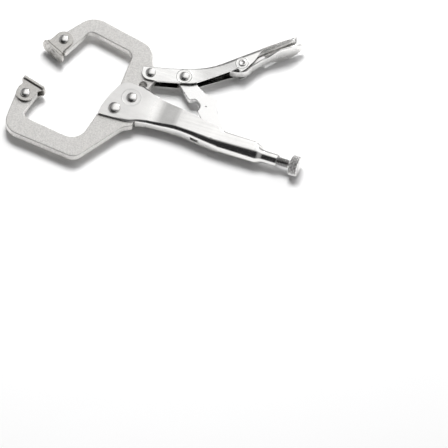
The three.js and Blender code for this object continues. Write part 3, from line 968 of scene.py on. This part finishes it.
def return_spring():
    """The spring from its hook in the moving jaw, along its coil, to the tab in the handle."""
    start = Vector((*COIL_START, 0))
    end = Vector((*COIL_END, 0))
    along = (end - start).normalized()
    side = Vector((-along.y, along.x, 0))
    hook = [
        Vector((3, 10.8, -1.6)),
        Vector((3, 10.6, 0.6)),
        Vector((3.5, 10.1, 2.3)),
        Vector((4.8, 9.5, 2.75)),
        Vector((*HOOK_EXIT, 2.6)),
        Vector((8.2, 8.4, 1.2)),
    ]
    tail = [
        Vector((39.6, -9.3, 0)),
        Vector((43, -10.6, 0)),
        Vector((43.6, -11.4, 0)),
    ]
    coil = []
    for i in range(1, COIL_TURNS * COIL_STEPS):
        share = i / (COIL_TURNS * COIL_STEPS)
        turn = share * COIL_TURNS * 2 * math.pi
        swing = side * COIL_R * math.cos(turn)
        lift = Vector((0, 0, COIL_R * math.sin(turn)))
        coil.append(start.lerp(end, share) + swing + lift)
    lead = smooth_path(hook + [start + side * COIL_R], 6)
    return wire(lead + coil + smooth_path([end + side * COIL_R] + tail, 8))


# ---------- materials ----------
BLACK = (0, 0, 0)
WHITE = (1, 1, 1)
CLOUD_SCALE = 90
SPECK_SCALE = 1300
GRAIN_DEPTH = 0.2 * MM
RING_DEPTH = 0.15 * MM
RING_REACH = 12  # millimetres from a rivet over which its pressed ring is worked out
RING_WIDTH = 0.03  # half the ring's width, as a share of that reach
BRUSHED = (0.04, 1, 1)  # the grain's scale along X, Y and Z on a brushed piece
PAINTED_SHADE_REACH = 9  # millimetres within which a facing wall shuts the light out, for the shade painted into the colour


def in_frame(point):
    """A plan point at mid thickness in the frame, in metres."""
    return ORIGIN + Vector((point[0] * MM, point[1] * MM, 0))


def add_node(tree, kind, inputs, operation=None):
    """A new node, with a value or another node's output for each input."""
    node = tree.nodes.new("ShaderNode" + kind)
    if operation:
        node.operation = operation
    for socket, value in inputs.items():
        if isinstance(value, bpy.types.NodeSocket):
            tree.links.new(value, node.inputs[socket])
        else:
            node.inputs[socket].default_value = value
    return node


def noise(tree, scale, detail, place):
    return add_node(tree, "TexNoise", {"Scale": scale, "Detail": detail, "Vector": place}).outputs["Fac"]


def ramp(tree, share, stops):
    """A colour ramp through (position, colour) stops."""
    node = add_node(tree, "ValToRGB", {"Fac": share})
    elements = node.color_ramp.elements
    for i in (0, -1):
        elements[i].position = stops[i][0]
        elements[i].color = (*stops[i][1], 1)
    for position, colour in stops[1:-1]:
        elements.new(position).color = (*colour, 1)
    return node


def smooth_step(tree, value, start, end, least=0.0, most=1.0):
    """A value eased from least to most between start and end."""
    step = add_node(tree, "MapRange", {
        "Value": value,
        "From Min": start,
        "From Max": end,
        "To Min": least,
        "To Max": most,
    })
    step.interpolation_type = "SMOOTHSTEP"
    return step.outputs["Result"]


def plated_colour(tree, place, cloud, colour, speckle):
    """The metal's colour, lighter and darker in soft blotches and fine specks."""
    specks = noise(tree, SPECK_SCALE, 4, place)
    mixed = add_node(tree, "Mix", {"Factor": 0.75 if speckle else 0.25, "A": cloud, "B": specks})
    spread = 0.04 + speckle
    dark = [c * (1 - spread) for c in colour]
    light = [min(1, c * (1 + spread)) for c in colour]
    return ramp(tree, mixed.outputs["Result"], [(0.36, dark), (0.64, light)]).outputs["Color"]


def painted_inside_shade(tree, colour):
    """The colour with painted shade: darker where the piece's own walls shut the light out."""
    inside = add_node(tree, "AmbientOcclusion", {"Distance": PAINTED_SHADE_REACH * MM})
    inside.samples = 8
    inside.only_local = True
    share = add_node(tree, "MapRange", {
        "Value": inside.outputs["AO"],
        "From Min": 0.35,
        "From Max": 0.85,
        "To Min": 0.08,
    })
    shaded = add_node(tree, "VectorMath", {0: colour, "Scale": share.outputs["Result"]}, "SCALE")
    return shaded.outputs["Vector"]


def pressed_ring(tree, place, centre, radius, normal):
    """A faint raised ring about a rivet, added to the relief."""
    at = in_frame(centre)
    flat = add_node(tree, "VectorMath", {0: place, 1: (1, 1, 0)}, "MULTIPLY")
    away = add_node(tree, "VectorMath", {0: flat.outputs["Vector"], 1: (at.x, at.y, 0)}, "DISTANCE")
    reach = add_node(tree, "MapRange", {"Value": away.outputs["Value"], "From Max": RING_REACH * MM})
    share = radius / RING_REACH
    lip = ramp(tree, reach.outputs["Result"], [
        (share - RING_WIDTH, BLACK), (share, WHITE), (share + RING_WIDTH, BLACK)])
    lip.color_ramp.interpolation = "EASE"
    bump = add_node(tree, "Bump", {
        "Strength": 0.5,
        "Distance": RING_DEPTH,
        "Height": lip.outputs["Color"],
        "Normal": normal,
    })
    return bump.outputs["Normal"]


def metal(
        name, colour, roughness, grain=0.15, grain_scale=2200, brushed=False, speckle=0.0,
        rings=(), satin=None, paint_inside_shade=False):
    """Plated steel: fine grain in its relief, blotches in its colour and roughness.

    satin is the plan x where a duller stretch starts to fade, where it ends, and its added
    roughness. The last flag paints shade into the colour inside a folded or bored piece,
    where its own walls shut the light out."""
    material = bpy.data.materials.new(name)
    material.use_nodes = True
    tree = material.node_tree
    shader = tree.nodes["Principled BSDF"]
    shader.inputs["Metallic"].default_value = 1.0
    place = tree.nodes.new("ShaderNodeTexCoord").outputs["Object"]

    cloud = noise(tree, CLOUD_SCALE, 5, place)
    tint = plated_colour(tree, place, cloud, colour, speckle)
    # Painted shade: the colour is darkened inside, where the piece's own walls shut the light out.
    if paint_inside_shade:
        tint = painted_inside_shade(tree, tint)
    tree.links.new(tint, shader.inputs["Base Color"])

    grain_place = place
    if brushed:
        stretch = add_node(tree, "Mapping", {"Vector": place, "Scale": BRUSHED})
        grain_place = stretch.outputs["Vector"]
    fine = noise(tree, grain_scale, 3, grain_place)

    rough = add_node(tree, "MapRange", {
        "Value": fine if brushed else cloud,
        "From Min": 0.3,
        "From Max": 0.7,
        "To Min": roughness - 0.04,
        "To Max": roughness + 0.05,
    }).outputs["Result"]
    if satin:
        fade_start, fade_end, added = satin
        along = add_node(tree, "SeparateXYZ", {"Vector": place}).outputs["X"]
        more = smooth_step(tree, along, in_frame((fade_start, 0)).x, in_frame((fade_end, 0)).x, added, 0)
        rough = add_node(tree, "Math", {0: rough, 1: more}).outputs["Value"]
    tree.links.new(rough, shader.inputs["Roughness"])

    relief = add_node(tree, "Bump", {"Strength": grain, "Distance": GRAIN_DEPTH, "Height": fine})
    normal = relief.outputs["Normal"]
    for centre, radius in rings:
        normal = pressed_ring(tree, place, centre, radius, normal)
    tree.links.new(normal, shader.inputs["Normal"])
    return material


JAW_METAL = metal("jaw_nickel", (0.8, 0.787, 0.765), 0.44, grain=0.6, grain_scale=1100, speckle=0.075)
# The handle, lever and screw get painted shade inside their channels, bores and grooves.
HANDLE_METAL = metal(
    "handle_nickel", (0.88, 0.872, 0.857), 0.22, grain=0.02, grain_scale=700, brushed=True,
    rings=[(JAW_PIVOT, 5.6)], satin=(4, 18, 0.2), paint_inside_shade=True)
LEVER_METAL = metal(
    "lever_nickel", (0.87, 0.865, 0.85), 0.24, grain=0.008, grain_scale=700, brushed=True,
    rings=[(LINK_PIVOT, 4.4), (RELEASE_PIVOT, 3.6)], paint_inside_shade=True)
LINK_METAL = metal("link_nickel", (0.96, 0.955, 0.945), 0.28, grain=0.06)
RELEASE_METAL = metal("release_nickel", (0.9, 0.89, 0.875), 0.28, grain=0.05)
PAD_METAL = metal("pad_nickel", (0.6, 0.585, 0.56), 0.36, grain=0.3, grain_scale=1500, speckle=0.08)
RIVET_METAL = metal("rivet_steel", (0.82, 0.81, 0.795), 0.25, grain=0.08)
SCREW_METAL = metal("screw_steel", (0.85, 0.84, 0.83), 0.2, grain=0.08, paint_inside_shade=True)
SPRING_METAL = metal("spring_wire", (0.6, 0.595, 0.59), 0.3, grain=0.1)


def piece(name, solid, material, node, body, smooth=38):
    """A finished piece: its mesh in the frame, its finish, and the CAD node it stands for."""
    mesh = mesh_of(solid, name)
    for vertex in mesh.vertices:
        vertex.co = ORIGIN + vertex.co * MM
    mesh.polygons.foreach_set("use_smooth", [True] * len(mesh.polygons))
    mesh.set_sharp_from_angle(angle=math.radians(smooth))
    mesh.materials.append(material)
    item = bpy.data.objects.new(name, mesh)
    bpy.context.scene.collection.objects.link(item)
    weighted = item.modifiers.new("weighted_normals", "WEIGHTED_NORMAL")
    weighted.keep_sharp = True
    weighted.weight = 90
    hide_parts(node)
    if body:
        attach(item, body)
    return item


piece("fixed_jaw_bar", fixed_jaw(), JAW_METAL, "fixed_jaw", "frame")
piece("moving_jaw_bar", moving_jaw(), JAW_METAL, "moving_jaw", "jaw")
piece("handle_channel", fixed_handle(), HANDLE_METAL, "fixed_handle", "frame")
piece("lever_channel", lever(), LEVER_METAL, "lever", "lever")
piece("link_plate", toggle_link(), LINK_METAL, "toggle_link", "link")
piece("release_blade", release_lever(), RELEASE_METAL, "release_lever", "release")
piece("screw_shank", adjusting_screw(), SCREW_METAL, "adjusting_screw", "screw")
piece("knurled_knob", screw_knob(), SCREW_METAL, "screw_knob", "knob")
for pad_name, centre, degrees, body in (
    ("upper_pad_face", UPPER_PAD_PIVOT, UPPER_PAD_TURN, "upper_pad"),
    ("lower_pad_face", LOWER_PAD_PIVOT, LOWER_PAD_TURN, "lower_pad"),
):
    piece(pad_name, pad(centre, degrees), PAD_METAL, body, body)
for rivet_name, size, centre, node, body in (
    ("fixing_head", LARGE_RIVET, JAW_FIXING, "jaw_fixing_rivet", "frame"),
    ("pivot_head", PIVOT_RIVET, JAW_PIVOT, "jaw_pivot_rivet", "frame"),
    ("lever_head", SMALL_RIVET, LEVER_PIVOT, "lever_pivot_rivet", "jaw"),
    ("link_head", SMALL_RIVET, LINK_PIVOT, "link_pivot_rivet", "lever"),
    ("upper_pad_head", SMALL_RIVET, UPPER_PAD_PIVOT, "upper_pad_rivet", "jaw"),
    ("lower_pad_head", SMALL_RIVET, LOWER_PAD_PIVOT, "lower_pad_rivet", "frame"),
):
    piece(rivet_name, rivet(size, centre), RIVET_METAL, node, body)
release_head = dished_rivet(RELEASE_SEAT, RELEASE_PIVOT)
piece("release_head", release_head, RIVET_METAL, "release_rivet", "lever")
spring = piece("spring_wire", return_spring(), SPRING_METAL, "return_spring", None)
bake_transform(spring)
# ---------- floor, light and camera ----------
FLOOR_SIZE = 3.0
FLOOR_DROP = 0.0004


def floor():
    """A pale floor with a faint grain."""
    rows = []
    steps = 24
    for i in range(steps + 1):
        y = FLOOR_SIZE * (i / steps - 0.5)
        rows.append([(FLOOR_SIZE * (k / steps - 0.5), y, -FLOOR_DROP) for k in range(steps + 1)])
    points, faces = grid(rows)
    mesh = bpy.data.meshes.new("floor")
    mesh.from_pydata(points, [], faces)
    material = bpy.data.materials.new("floor_paper")
    material.use_nodes = True
    tree = material.node_tree
    shader = tree.nodes["Principled BSDF"]
    shader.inputs["Roughness"].default_value = 0.9
    shader.inputs["Specular IOR Level"].default_value = 0.1
    grain = add_node(tree, "TexNoise", {"Scale": 40}).outputs["Fac"]
    paper = ramp(tree, grain, [(0, (0.93, 0.93, 0.93)), (1, (0.95, 0.95, 0.95))])
    tree.links.new(paper.outputs["Color"], shader.inputs["Base Color"])
    mesh.materials.append(material)
    item = bpy.data.objects.new("floor", mesh)
    bpy.context.scene.collection.objects.link(item)
    return item


def area_light(name, side, power, offset):
    """A square lamp at an offset from the clamp's middle, turned towards it."""
    data = bpy.data.lights.new(name, "AREA")
    data.shape = "RECTANGLE"
    data.size = side
    data.size_y = side
    data.energy = power
    item = bpy.data.objects.new(name, data)
    item.location = MIDDLE + Vector(offset)
    item.rotation_euler = (-Vector(offset)).to_track_quat("-Z", "Y").to_euler()
    bpy.context.scene.collection.objects.link(item)
    return item


MIDDLE = (Vector(frame_size[0]) + Vector(frame_size[1])) / 2
floor()
key = area_light("key", 0.42, 10.8, (-0.17, 0.43, 1.0))
key.visible_glossy = False
spark = area_light("spark", 0.22, 1.3, (0.12, 0.9, 0.55))

SIDE_LIGHT = 0.3
DARK_SIDE = (0.018, 0.018, 0.019)
WORLD_STRENGTH = 1.2


def studio_world():
    """A studio lit from overhead to the north, dark to the south and grey to the sides."""
    world = bpy.data.worlds.new("studio")
    bpy.context.scene.world = world
    world.use_nodes = True
    tree = world.node_tree
    outward = tree.nodes.new("ShaderNodeTexCoord").outputs["Generated"]
    axes = add_node(tree, "SeparateXYZ", {"Vector": outward}).outputs

    north = smooth_step(tree, axes["Y"], -0.12, 0.28)
    for limit in (
        smooth_step(tree, axes["X"], -0.4, -0.22, 0.16),
        smooth_step(tree, axes["Z"], 0.2, 0.6, 0.15),
    ):
        north = add_node(tree, "Math", {0: north, 1: limit}, "MULTIPLY").outputs["Value"]

    light = north
    for share in (
        smooth_step(tree, axes["X"], 0.4, 0.7, 0, SIDE_LIGHT),
        smooth_step(tree, axes["X"], -0.5, -0.8, 0, SIDE_LIGHT),
        smooth_step(tree, axes["Z"], -0.02, -0.05),
    ):
        light = add_node(tree, "Math", {0: light, 1: share}, "MAXIMUM").outputs["Value"]

    shade = ramp(tree, light, [(0, DARK_SIDE), (1, WHITE)])
    background = tree.nodes["Background"]
    tree.links.new(shade.outputs["Color"], background.inputs["Color"])
    background.inputs["Strength"].default_value = WORLD_STRENGTH


studio_world()

CAMERA_AZIMUTH = math.radians(20)
CAMERA_ELEVATION = math.radians(58)
CAMERA_DISTANCE = 1.3
PICTURE_WIDTH = 0.256
AIM = in_frame((77.9, -60.0))

lens = bpy.data.cameras.new("camera")
lens.type = "ORTHO"
lens.ortho_scale = PICTURE_WIDTH
lens.clip_start = 0.05
camera = bpy.data.objects.new("camera", lens)
back = Vector((
    math.sin(CAMERA_AZIMUTH) * math.cos(CAMERA_ELEVATION),
    -math.cos(CAMERA_AZIMUTH) * math.cos(CAMERA_ELEVATION),
    math.sin(CAMERA_ELEVATION)))
camera.location = AIM + back * CAMERA_DISTANCE
camera.rotation_euler = (-back).to_track_quat("-Z", "Y").to_euler()
bpy.context.scene.collection.objects.link(camera)
bpy.context.scene.camera = camera
bpy.context.scene.view_settings.view_transform = "Standard"
